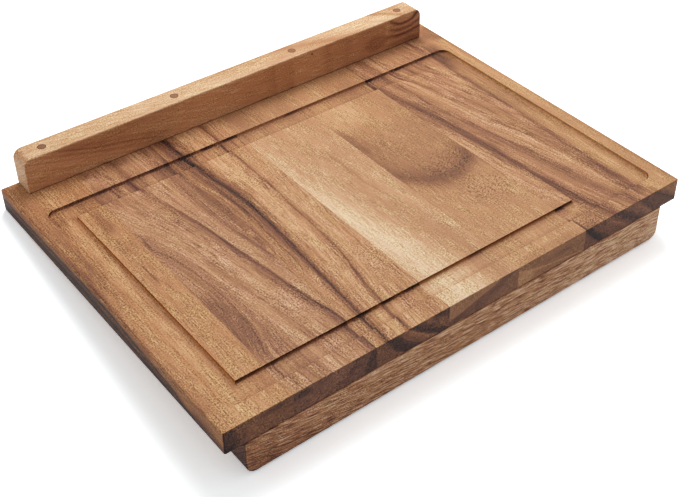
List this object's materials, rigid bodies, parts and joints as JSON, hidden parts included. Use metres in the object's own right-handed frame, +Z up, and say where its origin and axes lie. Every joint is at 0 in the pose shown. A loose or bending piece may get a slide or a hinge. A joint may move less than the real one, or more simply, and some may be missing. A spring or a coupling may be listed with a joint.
{
  "type": "counter-edge cutting board",
  "caption": "Thick wooden cutting board glued up from staves, with a juice groove and side well, a back rail on top and a lip below that hooks over a counter's edge.",
  "frame": {"origin": "the inside corner that meets the counter's edge: the middle of the line where the lip's rear face meets the slab's underside", "axes": "+X to the right along the counter's edge, +Y from the user over the counter towards the wall, +Z up out of the cutting face"},
  "size_m": [0.613, 0.457, 0.116],
  "materials": {
    "stave_golden": "oiled",
    "stave_figured": "oiled",
    "stave_streaked": "oiled",
    "stave_pale": "oiled",
    "stave_arched": "oiled",
    "stave_dark": "oiled",
    "rail_wood": "oiled",
    "lip_wood": "oiled",
    "plug_wood": "oiled",
    "screw_steel": "zinc plated"
  },
  "bodies": {
    "root": {"stave_1": "stave_golden", "stave_2": "stave_figured", "stave_3": "stave_streaked", "stave_4": "stave_pale", "stave_5": "stave_arched", "stave_6": "stave_dark", "stave_7": "stave_golden", "back_rail": "rail_wood", "front_lip": "lip_wood", "rail_plug_1": "plug_wood", "rail_plug_2": "plug_wood", "rail_plug_3": "plug_wood", "rail_plug_4": "plug_wood", "lip_plug_1": "plug_wood", "lip_plug_2": "plug_wood", "lip_plug_3": "plug_wood", "lip_plug_4": "plug_wood", "rail_screws": "screw_steel", "lip_screws": "screw_steel"}
  },
  "joints": []
}
